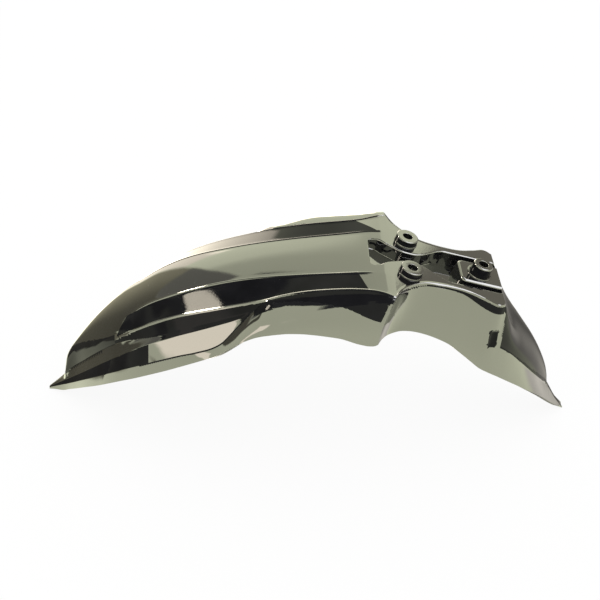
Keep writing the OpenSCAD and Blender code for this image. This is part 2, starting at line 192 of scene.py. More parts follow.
def satin_material(finish):
    """Fine grained satin plastic of the inner face."""
    made, tree = empty_material("satin_inner_plastic")
    spot = node(tree, "TexCoord").outputs["Object"]
    grain = node(tree, "TexNoise", Vector=spot, Scale=1400.0, Detail=2.0, Roughness=0.6)
    cloud = node(tree, "TexNoise", Vector=spot, Scale=24.0, Detail=5.0, Roughness=0.6)
    rough = smooth(tree, cloud.outputs["Fac"], 0.3, 0.7, 0.36, 0.5)
    bump = node(tree, "Bump", Strength=0.22, Distance=0.0006, Height=grain.outputs["Fac"])
    tint = two_tones(tree, cloud.outputs["Fac"], 0.75, 1.3, finish.inner)
    shade = node(tree, "BsdfPrincipled", Base_Color=tint, Roughness=rough, Normal=bump.outputs["Normal"])
    finish_tree(tree, "Material", shade.outputs["BSDF"])
    return made


# The moulding in millimetres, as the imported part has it: x from the nose's tip, y across, z up. A run is
# counted from the deck's front corners, or from the deck's end on the tail.
DROP, DENTS = [0.0], []  # how far the guard is raised, and its dents, both found while building
TILT = math.radians(13.0)
FRONT, DECK, TAIL, HIGH = 337.0, 103.0, 100.0, 189.5
CORNER, NECK, REAR, WALL = 126.6, 60.0, 85.0, 3.0
X_REAR, X_TIP = FRONT + DECK, FRONT + DECK + TAIL
RAKE, RAKE_REAR, RAKE_IN, RAKE_OUT = 12.0, 3.0, 67, 13
ROUND_IN, FULL, THIN, THIN_RUN = 4.0, 0.66, 0.6, 30
RUN = DECK / math.cos(TILT)
# columns of a half section: inner and outer crease, groove's foot, lip, facet line, tail dome's foot, hem
N1, N2, N3, N4, N5, NV, N6 = 3, 5, 7, 8, 9, 11, 16
INNER_COLUMNS = [0, N1, N2, N3, N4, N5, NV, 13, N6]
# fine raised line along the creases: height, half width, and where it starts and ends
BEAD, BEAD_W, BEAD_MORE = 0.42, 1.5, 1.6
BEAD_START, BEAD_END, BEAD_FADE = (88, 118), (300, 326), 8
CREASE_R, CREASE_R_DECK, NUDGE, REACH = 0.6, 0.9, 0.05, 0.3
TIP, CREASE_START, GROOVE_END = 19, 85, 224
# stretches over which the creases grow, the shoulder rounds, fills out and widens, and then flattens
FOLDS, BULGE, FILL, SPREAD = (84, 112), (186, 232), (232, 272), (224, 290)
FLARE, TAIL_BLEND, TAIL_KNEE = (0, 24), (0, 23), 75
INNER_SHARE, TAIL_SHARE, DOME_NOSE, DOME_TAIL = 0.53, 0.93, 0.92, 0.9

# rails of the front part as [x, z] (crest), [x, y, depth under the crest] (inner crease) or [x, y, z]
CREST = [[0, 1.5], [8, 8.5], [19, 19], [20.5, 27], [24, 44.5], [35, 65], [64, 101.5], [96, 127.5],
    [129, 149.5], [166, 164.8], [220, 178.2], [290, 188], [320, 190.8], [329, 190.8], [337, 189.5]]
CREASE_1 = [[85, 23, 5], [110, 24.5, 3.5], [148, 26.7, 2.7], [184, 26.3, 2.1], [255, 28.7, 1.4],
    [308, 31, 0.5], [322, 32, 0], [337, 33, 0]]
CREASE_2 = [[85, 37.6, 105], [110, 43.2, 124.5], [129, 46.5, 136.8], [150, 50.1, 148.2], [187, 53.5, 161.6],
    [223, 54.3, 172.1], [239, 52.8, 176.9], [256, 52, 181.2], [273, 51.8, 184.2], [294, 52.3, 186.9],
    [314, 54.5, 189], [327, 58.8, 190.2], [337, CORNER / 2, 189.5]]
VALLEY = [[19, 3.8, 18.5], [20.5, 4, 26], [24, 5, 31], [35, 9.5, 43], [50, 19, 61.5], [65, 28.5, 79.5],
    [80, 36.5, 95.5], [95, 42.5, 107.5], [110, 46.5, 115], [120, 50, 120], [133, 54, 127], [150, 57, 137],
    [188, 60, 153.2], [206, 59.8, 160.2], [213, 58.6, 164.3], [224, 54.7, 171.6]]
LIP = [[0, 1, 1.2], [8, 3.2, 7.7], [19, 7, 17.2], [24, 9.5, 22], [35, 16, 34], [50, 26.5, 51.5],
    [65, 36.5, 69], [80, 45.5, 85.5], [95, 52.5, 100], [110, 57, 112.5], [133, 59.1, 125.2],
    [188, 61.4, 149.3], [206, 61.1, 157.3], [213, 60.2, 162.4], [224, 55, 171.3]]
FACET = [[0, 1.5, 0.7], [8, 4.5, 6], [19, 9.5, 14], [24, 12.5, 18.5], [35, 20.5, 29.5], [50, 32, 45.5],
    [65, 42.5, 60.5], [80, 52, 74.5], [95, 58.5, 86.5], [110, 63.5, 96.5], [150, 71, 118.3],
    [170, 72.7, 126.3], [180, 72.4, 130.2], [188, 71, 134.9], [197, 67.6, 144.2], [206, 64.1, 154.8],
    [213, 61.2, 161.9], [224, 55.6, 170.9]]
HEM = [[0, 2, -1], [4, 3.5, 0.5], [8, 5.2, 2], [14, 8, 4], [19, 10.8, 7], [24, 14, 11.5], [35, 22.5, 22],
    [50, 35, 37.5], [65, 46, 51.5], [80, 55.5, 65], [95, 62, 76], [110, 67, 85.5], [150, 74.5, 108],
    [188, 78.4, 129.6], [206, 79.2, 144.1], [224, 79.7, 153.2], [255, 80, 158.2], [290, 79.4, 154.3],
    [310, 78.7, 147.2], [320, 78.3, 145.4], [325, 78, 147.3]]


def mix(a, b, t):
    """From a at t = 0 to b at t = 1."""
    return a + (b - a) * t


def ease(a, b, x):
    """A smooth step from 0 at a to 1 at b."""
    t = max(0.0, min(1.0, (x - a) / (b - a)))
    return t * t * (3 - 2 * t)


# rails of the deck and the tail as [run, half width] (deck's edge), [run, z] (crest) or [run, y, z]
DECK_EDGE = [[0, CORNER / 2], [4.2, mix(NECK, CORNER, 0.715) / 2], [8.4, mix(NECK, CORNER, 0.56) / 2],
    [12.5, mix(NECK, CORNER, 0.44) / 2], [24, mix(NECK, CORNER, 0.195) / 2],
    [34, mix(NECK, CORNER, 0.063) / 2], [52, NECK / 2], [61, NECK / 2 + 0.1],
    [70, mix(NECK, REAR, 0.112) / 2], [79.4, mix(NECK, REAR, 0.384) / 2], [88, mix(NECK, REAR, 0.69) / 2],
    [95, REAR / 2 - 0.6], [99, REAR / 2 - 1.2], [DECK, REAR / 2 - ROUND_IN]]
ARCH = [[0, 78, 147.3], [3.4, 73.5, 149.8], [9, 68, 150.6], [20, 64, 152], [34, 61, 148.8],
    [48, 58.5, 142.7], [58, 57, 137], [68, 56, 130.6], [79, 55, 120.4], [90, 54, 110], [101, 53, 99.7],
    [112, 52, 92.9]]
TAIL_CREST = [[0, 165.7], [6, 152], [15, 138], [37, 110], [50, 93], [59.5, 77.6], [67, 63], [72, 50.4],
    [74.5, 40], [75.8, 35.2], [78, 31.5], [82.3, 24.8], [90.7, 11.7], [100, 0.4]]
TAIL_VALLEY = [[0, 47.2, 123], [5, 45.9, 118.4], [15, 42.1, 109.2], [25, 37.9, 98.2], [35, 32.9, 86.3],
    [45, 27.2, 73.8], [55, 20.6, 61.4], [65, 12.9, 48.1], [71, 8, 40], [75, 5.4, 34.4]]
TAIL_HEM = [[-3, 52, 92.9], [5, 50.6, 87.9], [15, 48.3, 80.9], [25, 45.2, 73.4], [35, 41.6, 65.4],
    [45, 37, 56.6], [55, 31.9, 47.5], [65, 26.1, 37.5], [75, 19.9, 26.5], [82, 15.2, 18.5], [90, 9.3, 9.6],
    [96, 5.2, 4.6], [100, 3, 1.8]]
# stations of the loft: x of the front part, runs of the deck and the tail
FRONT_X = [0, 3, 7, 11, 15, 19, 20.5, 22, 24, 27, 31, 36, 42, 49, 57, 66, 76, 86, 95, 102.5, 110, 117, 124,
    132, 141, 152, 165, 177, 188, 197, 206, 213, 218.5, 224, 230, 238, 247, 258, 270, 283, 296, 307, 316,
    323, 329, 333, 337]
DECK_X = [1.4, 3, 5.5, 8.5, 12.5, 18, 25, 33, 42, 52, 62, 71, 80, 87, 91.5, 95, 97.5, 99.5, 101.5]
TAIL_X = [2, 5, 10, 16, 23, 31, 39, 47, 54, 60.5, 66, 70, 72.5, 74, 75.2, 76.5, 79, 83, 88, 93, 97, 100]


def cubic(t, h, low, high, lean_low, lean_high):
    """A cubic from low to high over the length h, with its slopes at both ends."""
    return ((2 * t ** 3 - 3 * t * t + 1) * low + (t ** 3 - 2 * t * t + t) * lean_low * h
            + (3 * t * t - 2 * t ** 3) * high + (t ** 3 - t * t) * lean_high * h)


def between(a, b):
    """The slope at a knot with a before it and b after it."""
    return 0.0 if a * b <= 0 else 2 * a * b / (a + b)


def curve(knots, x, c=1):
    """A smooth monotone curve through a list of knots."""
    i = 0
    while i < len(knots) - 2 and knots[i + 1][0] <= x:
        i += 1

    def run(n):
        return (knots[n + 1][c] - knots[n][c]) / (knots[n + 1][0] - knots[n][0])

    def lean(n):
        if n == 0:
            return run(0)
        if n == len(knots) - 1:
            return run(n - 1)
        return between(run(n - 1), run(n))

    h = knots[i + 1][0] - knots[i][0]
    return cubic((x - knots[i][0]) / h, h, knots[i][c], knots[i + 1][c], lean(i), lean(i + 1))


def yz(knots, x):
    """The place of a rail across and up at x."""
    return Vector((curve(knots, x, 1), curve(knots, x, 2)))


def shoulder(a, b, u, k, m=1.0):
    """A rounded shoulder from a to b: k = 1 is a quarter round, m under 1 makes it fuller."""
    turn = math.pi / 2 * max(0.0, min(1.0, u))
    return Vector((mix(a[0], b[0], mix(u, math.sin(turn) ** m, k)),
                   mix(a[1], b[1], mix(u, 1 - max(0.0, math.cos(turn)) ** m, k))))


def rake_at(x):
    """How far the hem of a section stands ahead of its crest."""
    if x < FRONT:
        return RAKE * ease(FRONT - RAKE_IN, FRONT, x)
    if x < X_REAR:
        return mix(RAKE, RAKE_REAR, (x - FRONT) / DECK)
    return RAKE_REAR * (1 - ease(X_REAR, X_REAR + RAKE_OUT, x))


def deck_z(x):
    """Height of the deck plane."""
    return HIGH - (x - FRONT) * math.tan(TILT)


def swept(x, j, point):
    """A point of column j in space, raked forward beyond the outer crease."""
    return Vector((x - rake_at(x) * max(0.0, (j - N2) / (N6 - N2)), point[0], point[1]))


def dome_at(turn, top, foot, power):
    """A point of a dome, from its crest at turn 0 to its foot at a quarter turn."""
    return Vector((foot[0] * math.sin(turn),
                   foot[1] + (top - foot[1]) * max(0.0, math.cos(turn)) ** power))


def flat_at(j, half, z):
    """A point of the flat top of the deck or the tail."""
    if j <= N1:
        return Vector((INNER_SHARE * half * j / N1, z))
    return Vector((mix(INNER_SHARE * half, half, (j - N1) / (N2 - N1)), z))


def front_row(x, columns):
    """Half section of the nose dome and the wide front part."""
    top = curve(CREST, x)
    lip, facet, hem = yz(LIP, x), yz(FACET, x), yz(HEM, x - rake_at(x))
    c1, c2 = yz(CREASE_1, max(x, CREASE_START)), yz(CREASE_2, max(x, CREASE_START))
    if x >= TIP:
        foot = yz(VALLEY, x)
    else:
        y = VALLEY[0][1] * (max(x, 0.5) / TIP) ** 0.6
        foot = Vector((y, mix(top, lip[1], y / lip[0])))
    fade = ease(*FOLDS, x)
    share = mix(0.05, (N5 - N2) / (N6 - N2), ease(*SPREAD, x))
    k, m = mix(0.1, 1, ease(*BULGE, x)), mix(1, FULL, ease(*FILL, x))
    row = []
    for j in columns:
        if j <= N1:
            fold = Vector((c1[0] * j / N1, top - c1[1] * (j / N1) ** 2))
        elif j <= N2:
            fold = Vector((c1[0], top - c1[1])).lerp(c2, (j - N1) / (N2 - N1))
        else:
            fold = c2.lerp(foot, (j - N2) / (N3 - N2))
        if x > GROOVE_END:
            if j <= N2:
                p = fold
            elif j <= N5:
                p = shoulder(c2, hem, share * (j - N2) / (N5 - N2), k, m)
            else:
                p = shoulder(c2, hem, mix(share, 1, (j - N5) / (N6 - N5)), k, m)
        elif j <= N3:
            if x < TIP:
                dome = Vector((foot[0] * j / N3, mix(top, foot[1], j / N3)))
            else:
                dome = dome_at(math.pi / 2 * j / N3, top, foot, DOME_NOSE)
            p = dome.lerp(fold, fade)
        elif j <= N4:
            p = foot.lerp(lip, (j - N3) / (N4 - N3))
        elif j <= N5:
            p = lip.lerp(facet, (j - N4) / (N5 - N4))
        else:
            p = shoulder(facet, hem, (j - N5) / (N6 - N5), k)
        row.append(swept(x, j, p))
    return row


def deck_row(x, columns):
    """Half section beside the mounting deck."""
    s = x - FRONT
    half, z = curve(DECK_EDGE, s), deck_z(x)
    hem = yz(ARCH, s + RAKE - rake_at(x))
    k, m = mix(1, 0.14, ease(*FLARE, s)), mix(FULL, 1, ease(*FLARE, s))
    row = []
    for j in columns:
        p = flat_at(j, half, z) if j <= N2 else shoulder((half, z), hem, (j - N2) / (N6 - N2), k, m)
        row.append(swept(x, j, p))
    return row


def tail_foot(s, top, hem):
    """Where the tail's dome meets its side facet."""
    if s <= TAIL_KNEE:
        return yz(TAIL_VALLEY, s)
    return Vector((mix(5.4, 1.6, (s - TAIL_KNEE) / (TAIL - TAIL_KNEE)), mix(top, hem[1], 0.12)))


def tail_row(x, columns):
    """Half section of the tail."""
    s = x - X_REAR
    top, hem = curve(TAIL_CREST, s), yz(TAIL_HEM, s - rake_at(x))
    foot = tail_foot(s, top, hem)
    m = ease(*TAIL_BLEND, s)
    half = min(REAR / 2 - ROUND_IN, foot[0] * TAIL_SHARE)
    row = []
    for j in columns:
        box = flat_at(j, half, top) if j <= N2 else Vector((half, top)).lerp(foot, (j - N2) / (NV - N2))
        dome = dome_at(math.pi / 2 * j / NV, top, foot, DOME_TAIL)
        p = box.lerp(dome, m) if j <= NV else foot.lerp(hem, (j - NV) / (N6 - NV))
        row.append(swept(x, j, p))
    return row


STATIONS = ([(front_row, x) for x in FRONT_X] + [(deck_row, FRONT + s) for s in DECK_X]
            + [(deck_row, X_REAR)] + [(tail_row, X_REAR + s) for s in TAIL_X])


def refine(rows, step):
    """More rows between the stations, on a smooth curve that passes through every station."""
    out = []
    total = len(rows)
    place = [row[0][0] for row in rows]
    for i in range(total - 1):
        parts = max(1, math.ceil((place[i + 1] - place[i]) / step))
        for n in range(parts):
            t = n / parts
            if n == 0:
                out.append(list(rows[i]))
                continue
            made = []
            for c in range(len(rows[i])):
                point = Vector((0, 0, 0))
                for axis in range(3):
                    v = [rows[max(0, min(total - 1, i + d))][c][axis] for d in (-1, 0, 1, 2)]
                    h = [place[max(0, min(total - 1, i + d + 1))] - place[max(0, min(total - 1, i + d))]
                         for d in (-1, 0, 1)]
                    g = [(v[d + 1] - v[d]) / h[d] if h[d] > 1e-6 else (v[2] - v[1]) / h[1] for d in range(3)]
                    point[axis] = cubic(t, h[1], v[1], v[2], between(g[0], g[1]), between(g[1], g[2]))
                made.append(point)
            out.append(made)
    out.append(list(rows[-1]))
    return out


def half_columns():
    """Columns of one half; a crease is three narrow columns, a raised one five, given as (rail, side)."""
    cols = []
    rails = (0, N1, N2, N3, N4, N5, NV, N6)
    parts = (6, 5, 5, 3, 3, 5, 10)
    for i, count in enumerate(parts):
        sides = (-2, -1, 0, 1, 2) if rails[i] in (N1, N2) else (-1, 0, 1)
        for n in range(count):
            if n == 0 and i > 0:
                cols += [(rails[i], side) for side in sides]
            else:
                cols.append((mix(rails[i], rails[i + 1], n / count), None))
    cols.append((N6, None))
    return cols


def bead_at(x, rail):
    """Height of the fine raised line that runs along a crease."""
    fade = ease(*BEAD_END, x) if rail == N1 else ease(X_REAR - BEAD_FADE, X_REAR, x)
    return BEAD * ease(*BEAD_START, x) * (1 - fade)


def outer_row(make, x, cols, radius):
    """One half section with every crease rounded over the given distance, or raised to a fine line."""
    exact = make(x, [j for j, side in cols])
    row = []
    for n, (j, side) in enumerate(cols):
        if side is None:
            row.append(exact[n])
            continue
        beaded = j in (N1, N2)
        reach = []
        for way in (-1, 1):
            speed = (make(x, [j + way * NUDGE])[0] - exact[n]).length / NUDGE
            wide = BEAD_W * mix(1, BEAD_MORE, ease(FRONT - 20, FRONT + 10, x)) if beaded else radius
            reach.append(way * min(REACH, wide / max(speed, 1e-3)))
        low, high = make(x, [j + reach[0], j + reach[1]])
        if not beaded:
            row.append((low + high) / 4 + exact[n] / 2 if side == 0 else (low if side < 0 else high))
            continue
        t = (side + 2) / 4
        lift = bead_at(x, j) * Vector((0, low[2] - high[2], high[1] - low[1])).normalized()
        row.append((1 - t) ** 2 * low + 2 * t * (1 - t) * exact[n] + t * t * high
                   + lift * (1 - abs(side) / 2))
    return row


def whole(row):
    """A whole section from its half."""
    return [Vector((p[0], -p[1], p[2])) for p in row[:0:-1]] + row


def shell_mesh(step):
    """Points and faces of the lofted shell, and how far it reaches under z = 0."""
    cols = half_columns()
    radii = {deck_row: CREASE_R_DECK}
    outer = [whole(outer_row(make, x, cols, radii.get(make, CREASE_R))) for make, x in STATIONS]
    grid = [whole(make(x, range(N6 + 1))) for make, x in STATIONS]
    picks = [N6 - c for c in INNER_COLUMNS[:0:-1]] + [N6 + c for c in INNER_COLUMNS]
    inner = []
    for i, row in enumerate(grid):
        line = []
        for j in picks:
            a = grid[min(len(grid) - 1, i + 1)][j] - grid[max(0, i - 1)][j]
            b = row[min(2 * N6, j + 1)] - row[max(0, j - 1)]
            x = row[j][0]
            wall = WALL * mix(THIN, 1, ease(0, THIN_RUN, x)) * mix(THIN, 1, ease(0, THIN_RUN, X_TIP - x))
            line.append(row[j] - wall * a.cross(b).normalized())
        inner.append(line)
    mid = len(outer[0]) // 2
    place = [row[mid][0] for row in outer]
    both = [[Vector((place[i], 0, 0))] + outer[i] + inner[i] for i in range(len(outer))]
    both = refine(both, step)
    wide, narrow = len(outer[0]), len(inner[0])
    points, faces = [], []
    for row in both:
        points += row[1:]
    size = wide + narrow
    for i in range(len(both) - 1):
        a, b = i * size, (i + 1) * size
        for c in range(wide - 1):
            faces.append((a + c, a + c + 1, b + c + 1, b + c))
        for c in range(wide, size - 1):
            faces.append((a + c, b + c, b + c + 1, a + c + 1))
        faces.append((a, b, b + wide, a + wide))
        faces.append((a + wide - 1, a + size - 1, b + size - 1, b + wide - 1))
    last = (len(both) - 1) * size
    faces.append(tuple(range(wide - 1, -1, -1)) + tuple(range(wide, size)))
    faces.append(tuple(last + c for c in [*range(wide), *range(size - 1, wide - 1, -1)]))
    drop = -min(p[2] for row in inner for p in row)
    return points, faces, drop


def lift_deck(s, y, h):
    """A point of the deck frame: run behind the corners, width, height over the deck."""
    return Vector((FRONT + s * math.cos(TILT) + h * math.sin(TILT), y,
                   HIGH - s * math.sin(TILT) + h * math.cos(TILT)))


DECK_ZERO = lift_deck(0, 0, 0)
DECK_UP = lift_deck(0, 0, 1) - DECK_ZERO
MM = 1000  # millimetres in a metre of the model


def to_model(x, y, z):
    """A place of the moulding in metres of the model."""
    return (x - X_TIP / 2) / MM, y / MM, (z + DROP[0]) / MM


def to_part(spot):
    """A place of the model in millimetres of the moulding."""
    return spot.x * MM + X_TIP / 2, spot.y * MM, spot.z * MM - DROP[0]


def build(name, points, faces):
    """A closed mesh object in model metres from points in millimetres."""
    mesh = bpy.data.meshes.new(name)
    mesh.from_pydata([to_model(*p) for p in points], [], faces)
    grid = bmesh.new()
    grid.from_mesh(mesh)
    bmesh.ops.recalc_face_normals(grid, faces=grid.faces)
    if grid.calc_volume(signed=True) < 0:
        bmesh.ops.reverse_faces(grid, faces=grid.faces)
    bmesh.ops.triangulate(grid, faces=grid.faces)
    grid.to_mesh(mesh)
    grid.free()
    made = bpy.data.objects.new(name, mesh)
    bpy.context.collection.objects.link(made)
    return made


def stack(name, sections):
    """A solid through loops of equal length."""
    count = len(sections[0])
    faces = [tuple(range(count)), tuple((len(sections) - 1) * count + n for n in range(count))]
    for i in range(len(sections) - 1):
        for n in range(count):
            m = (n + 1) % count
            faces.append((i * count + n, i * count + m, (i + 1) * count + m, (i + 1) * count + n))
    return build(name, [p for loop in sections for p in loop], faces)


def turned(name, profile, place, sides=72):
    """A turned solid from its profile of radius and height; place maps local X, Y, Z to the model."""
    turns = [2 * math.pi * n / sides for n in range(sides)]
    return stack(name, [[place(radius * math.cos(turn), radius * math.sin(turn), height) for turn in turns]
                        for radius, height in profile])


FEW, MANY = 100, 1000  # face counts that show that a step has lost the shell


def cut(base, tool, how):
    """Join or subtract the tool and delete it."""
    change = base.modifiers.new("change", "BOOLEAN")
    change.operation, change.solver, change.object = how, "MANIFOLD", tool
    bpy.context.view_layer.update()
    graph = bpy.context.evaluated_depsgraph_get()
    mesh = bpy.data.meshes.new_from_object(base.evaluated_get(graph))
    if len(mesh.polygons) < FEW and len(base.data.polygons) > MANY:
        raise RuntimeError("the step with " + tool.name + " left nothing")
    base.modifiers.clear()
    base.data = mesh
    bpy.data.objects.remove(tool)


def arc(radius, steps):
    """Offsets of a quarter round as (inwards, upwards) pairs, from its side to its top."""
    turns = [math.pi / 2 * n / steps for n in range(steps + 1)]
    return [(radius * (1 - math.cos(t)), radius * math.sin(t) - radius) for t in turns]


# half width of the trough along the deck, from its mouth over its waist to its wide rear
MOUTH, WAIST, BACK = 38, 12.4, 45
TROUGH_EDGE = [[-19.2, 19], [-12, 19], [-3, mix(WAIST, MOUTH, 0.57) / 2], [5, mix(WAIST, MOUTH, 0.27) / 2],
    [14, 6.2], [23, 6], [30, mix(WAIST, BACK, 0.1) / 2], [38, mix(WAIST, BACK, 0.39) / 2],
    [47, mix(WAIST, BACK, 0.78) / 2], [56, 22.5], [RUN + 0.2, 22.5]]
# depth of the trough and its wall; place of the bosses; front edge, half width and height of the platform
DEEP, TUB = 13.0, 2.6
BOSS_S, REAR_S, BOSS_Y = 16.8, 86.5, 24.0
PLAT_S, PLAT_W, PLAT_H = REAR_S - 20, 16.0, 0.6
SLEEVE_LOW, HOLE_R, LEDGE_Y, PAD_S, OPEN_GAP = 9, 4.6, 20.1, -10.5, 3.4
# each boss: name, run, place across, base, radius, height, foot, sleeve, rounding and top of its bore
BOSSES = [("boss", BOSS_S, side * BOSS_Y, 0, 10.4, 6.57, 0.6, 8.9, 0.8, 6.6) for side in (-1, 1)]
BOSSES.append(("rear_boss", REAR_S, 0, PLAT_H, 9.2, 10.9, 2.5, 8.5, 1.3, 10.9))
PAD = [(-6, -9), (-1, -10.5), (3, -8), (6, -3), (5, 4), (1, 8), (-4, 9.5), (-7, 6), (-6.2, 0)]
# dents: radius, half length, how far the middle lies outside the side, columns between which it lies
DENT_R, DENT_H, DENT_OUT, DENT_COLUMNS = 7.5, 9, 5.8, (9, 12)
DENT = [(0.001, -DENT_H), (5.8, -DENT_H), (6.9, -7.2), (7.4, -5.4), (DENT_R, 0), (7.4, 5.4), (6.9, 7.2),
    (5.8, DENT_H), (0.001, DENT_H)]


def corner(x, y, r, start, steps=6):
    """Points of a quarter round about a middle."""
    return [(x + r * math.cos(math.radians(start + 90 * n / steps)),
             y + r * math.sin(math.radians(start + 90 * n / steps))) for n in range(steps + 1)]


def trough_outline(grow):
    """The trough's edge in plan, moved outwards by grow."""
    end = RUN + 0.2
    half = corner(-16.2, 16, 3, 90)[::-1] + [(s, curve(TROUGH_EDGE, s)) for s in range(-12, 57, 2)]
    half += corner(end - 3, 19.5, 3, 0)[::-1]
    loop = half + [(s, -y) for s, y in half[::-1]]
    out = []
    for n, (s, y) in enumerate(loop):
        a, b = loop[(n + 1) % len(loop)], loop[n - 1]
        dx, dy = a[0] - b[0], a[1] - b[1]
        size = math.hypot(dx, dy)
        out.append((s - grow * dy / size, y + grow * dx / size))
    return out


def rim(s):
    """Height of the outer skin over the deck plane, which rises ahead of the corners."""
    if s >= 0:
        return 0.0
    x = FRONT + s * math.cos(TILT)
    return (curve(CREST, x) - deck_z(x)) * math.cos(TILT)


def trough_tool():
    """What is cut out for the trough, with a rounded upper edge."""
    base = trough_outline(0)
    loops = []
    for grow, h in ((-1.0, -DEEP), (-0.3, -DEEP + 0.3), (0, -DEEP + 1)):
        loops.append([lift_deck(s, y, h) for s, y in trough_outline(grow)])
    for grow, drop in arc(1.2, 4):
        loops.append([lift_deck(s, y, rim(base[n][0]) + drop + (0.02 if drop == 0 else 0))
                      for n, (s, y) in enumerate(trough_outline(grow))])
    loops.append([lift_deck(s, y, 12) for s, y in trough_outline(1.25)])
    return stack("trough_cut", loops)


def tub_tool():
    """The block around the trough that leaves its walls and floor."""
    low = [lift_deck(s, y, -DEEP - TUB) for s, y in trough_outline(TUB)]
    top = []
    for s, y in trough_outline(TUB):
        drop = -1.35 if s < RUN - 6 else mix(-1.35, -9, (s - RUN + 6) / 9)
        top.append(lift_deck(s, y, rim(s) + drop))
    return stack("trough_wall", [low, top])


def plat_outline(g, end):
    """Plan of the platform drawn in by g; its rear end stays at the given run."""
    half = corner(PLAT_S + 6, PLAT_W - 6, 6 - g, 90)[::-1] + [(end, PLAT_W - g)]
    return half + [(s, -y) for s, y in half[::-1]]


def platform_tool():
    """The platform under the rear boss, with a rounded upper edge."""
    end = RUN + 0.8
    loops = [[lift_deck(s, y, h) for s, y in plat_outline(-0.8, end)] for h in (-DEEP - 1.3, -DEEP + 0.2)]
    for g, drop in arc(2.4, 6):
        loops.append([lift_deck(s, y, PLAT_H + drop) for s, y in plat_outline(g, end)])
    return stack("platform", loops)


def prism(name, plan, low, high):
    """An upright block of the deck frame over a plan."""
    return stack(name, [[lift_deck(s, y, h) for s, y in plan] for h in (low, high)])


def on_axis(s, y, h):
    """Maps local coordinates around an upright axis of the deck frame."""
    return lambda a, b, c: lift_deck(s + a, y + b, h + c)


def boss_profile(radius, height, foot, sleeve, down, soft):
    """Half profile of a boss: its sleeve under the deck, its foot and its rounded top."""
    return ([(0.001, -down), (sleeve, -down), (sleeve, -1), (radius + foot, -1), (radius + foot, 0.6),
             (radius + foot - 0.25, 1.0), (radius + 0.15, 1.15), (radius, 1.4)]
            + [(radius - g, height + drop) for g, drop in arc(soft, 5)] + [(0.001, height)])


def bore_profile(height, down):
    """Half profile of a through hole with a chamfered mouth."""
    return [(0.001, -down - 1), (HOLE_R, -down - 1), (HOLE_R, height - 0.5), (4.75, height - 0.15),
            (5.1, height + 0.02), (5.1, height + 2), (0.001, height + 2)]


def cut_dents(guard):
    """Cut a small round dent into each side near the tail."""
    row = deck_row(X_REAR - 3.5, range(N6 + 1))
    a, b = (row[column] for column in DENT_COLUMNS)
    for side in (-1, 1):
        centre = Vector(((a[0] + b[0]) / 2, side * ((a[1] + b[1]) / 2 + DENT_OUT), (a[2] + b[2]) / 2))
        spin = Matrix.Rotation(side * math.atan((b[1] - a[1]) / (a[2] - b[2])), 3, "X")
        DENTS.append((centre, spin))
        cut(guard, turned("dent", DENT, lambda p, q, r: centre + spin @ Vector((p, q, r)), 40), "DIFFERENCE")


def dress_shell():
    """The moulding: lofted shell, trough, platform, bosses, holes and dents, with rounded edges."""
    points, faces, drop = shell_mesh(2.6)
    DROP[0] = drop
    guard = build("guard_skin", points, faces)
    cut(guard, tub_tool(), "UNION")
    cut(guard, trough_tool(), "DIFFERENCE")
    block = platform_tool()
    hollow = [(s, y) for s, y in plat_outline(TUB, RUN - OPEN_GAP) if s > 0]
    cut(block, prism("hollow", hollow, -DEEP - 10, PLAT_H - WALL), "DIFFERENCE")
    cut(guard, block, "UNION")
    for side in (-1, 1):
        y = side * LEDGE_Y
        ledge = [(44, y - side * 0.4), (47, y - side * 3.6), (PLAT_S + 3, y - side * 3.6),
                 (PLAT_S + 3, y + side * 3.4), (56, y + side * 3.4)]
        cut(guard, prism("ledge", ledge, -DEEP - 0.8, -DEEP + 1.6), "UNION")
    cut(guard, prism("pad", [(s + PAD_S, y) for s, y in PAD], -DEEP - 0.8, -DEEP + 1.2), "UNION")
    for name, s, y, base, *sizes, soft, top in BOSSES:
        cut(guard, turned(name, boss_profile(*sizes, SLEEVE_LOW, soft), on_axis(s, y, base)), "UNION")
    opening = plat_outline(TUB, RUN - OPEN_GAP)
    cut(guard, prism("opening", opening, -DEEP - TUB - 1, -DEEP + 0.4), "DIFFERENCE")
    for name, s, y, base, *rest in BOSSES:
        cut(guard, turned("bore", bore_profile(rest[-1], SLEEVE_LOW), on_axis(s, y, base)), "DIFFERENCE")
    cut_dents(guard)
    return guard


# Where the painted dark and dim reflections of the outer skin begin and end, in millimetres: lacquer of a
# lower index stands in for the dark parts of the studio that the real lacquer mirrors.
# finishes: polished gloss, satin inner face, painted dark reflection, painted dim reflection
GLOSS, SATIN, PAINTED_DARK, PAINTED_DIM = 0, 1, 2, 3
# painted dark reflection under the near rim: x and its depth outside the outer crease
SHADE = [[222, 4], [256, 11], [277, 16], [299, 21.6], [320, 26.3], [325, 26], [329, 15.7], [334, 5.7],
    [337, 2]]
# painted dark reflection: strip and wedge under the deck's edge
STRIP, WEDGE_X, WEDGE_CUTS = (2.0, 3.2), 395, (*range(392, 428, 5), 436)
WEDGE_TOP, WEDGE_MORE, WEDGE_RUN = 3.2, 6, (397, 427)
# straight ends of the painted dark reflections on the bands: side, x, y, lean, stretch of the faces that are
# cut, least upward normal
BAND_CUTS = ((-1, 307, -33, 0.36, 280, 336, 0.5), (1, 329, 32, 1.05, 280, 336, 0.5),
             (-1, 98, -24, -0.714, 80, 106, 0.1), (1, 98, 24, 0.714, 80, 106, 0.1))
# where the painted dark reflection of the bands begins, how far out it reaches, and how far under the bands
BAND_START, BAND_Y, BAND_UP = (98, 88), 22, 1.6
# painted dark reflection along the foot of the tail's dome: its width, and how much it grows over which run
RIM, RIM_MORE, RIM_RUN = 2.0, 3.0, (5, 70)
# painted dark reflection on the sides of the bosses: reach about the radius, clear of the foot and of the top
BOSS_REACH, BOSS_FOOT, BOSS_TOP = 0.9, 1.0, 1.3
